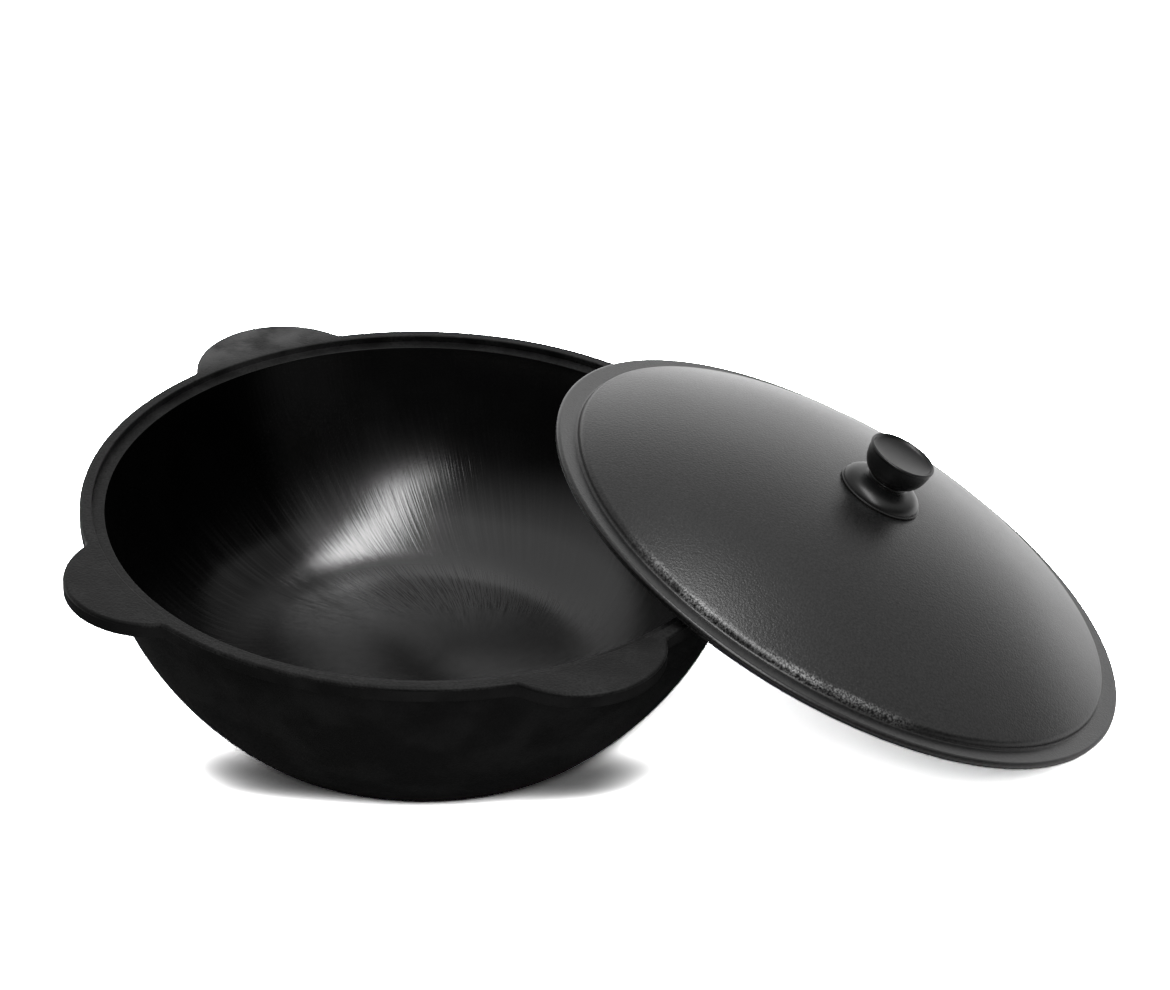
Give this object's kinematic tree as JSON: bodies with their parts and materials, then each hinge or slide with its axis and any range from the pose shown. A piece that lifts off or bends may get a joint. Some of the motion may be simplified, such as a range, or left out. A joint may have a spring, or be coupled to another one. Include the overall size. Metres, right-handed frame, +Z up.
{
  "type": "kazan with lid",
  "caption": "Deep round cast-iron kazan with a stepped rim and flat ears, and a low domed lid with a turned knob that leans against it.",
  "frame": {"origin": "centre of the pot's flat base, on the floor", "axes": "+Z up along the pot's axis; +X points about to the side on which the lid leans, 2.5 deg short of the lid's own slope"},
  "size_m": [0.5926, 0.3908, 0.1596],
  "materials": {
    "pot_iron": "oiled, slightly rough",
    "lid_iron": "satin, finely grained",
    "knob_black": "polished",
    "screw_steel": "plain"
  },
  "bodies": {
    "root": {"pot": "pot_iron", "lid": "lid_iron", "knob": "knob_black", "screw": "screw_steel"}
  },
  "joints": []
}
